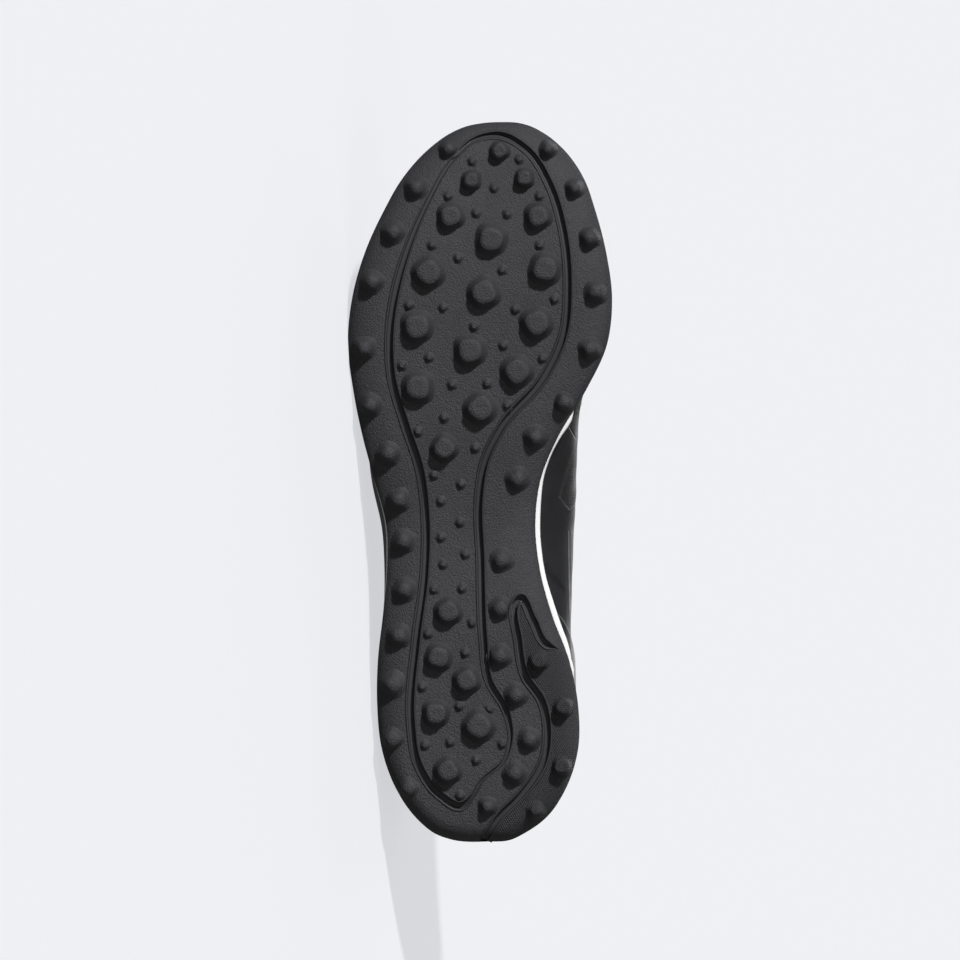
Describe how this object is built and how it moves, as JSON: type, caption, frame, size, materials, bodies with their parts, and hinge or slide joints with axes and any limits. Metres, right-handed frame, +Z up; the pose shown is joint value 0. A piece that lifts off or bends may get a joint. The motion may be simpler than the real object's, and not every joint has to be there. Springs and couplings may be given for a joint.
{
  "type": "turf shoe",
  "caption": "Low-cut right turf shoe lying on its outer side: lugged black rubber cup sole, white foam midsole, hollow laced upper with tongue and insole.",
  "frame": {"origin": "centre of the bounding box's bottom, on the floor under the lying shoe", "axes": "+X towards the heel, -Y the way the sole faces, +Z up, which is towards the shoe's inner side"},
  "size_m": [0.2842, 0.114, 0.1038],
  "materials": {
    "outsole_rubber": "matte, fine moulded grain",
    "midsole_foam": "moulded foam skin",
    "insole_textile": "knitted lining",
    "upper_leather": "coated synthetic leather, satin",
    "overlay_film": "smooth coated film, satin",
    "tongue_textile": "woven over foam",
    "lace_cord": "flat braided cord"
  },
  "bodies": {
    "root": {"outsole": "outsole_rubber", "midsole": "midsole_foam", "insole": "insole_textile", "upper": "upper_leather", "eyestay": "overlay_film", "heel_counter": "overlay_film", "tongue": "tongue_textile", "lace": "lace_cord"}
  },
  "joints": []
}
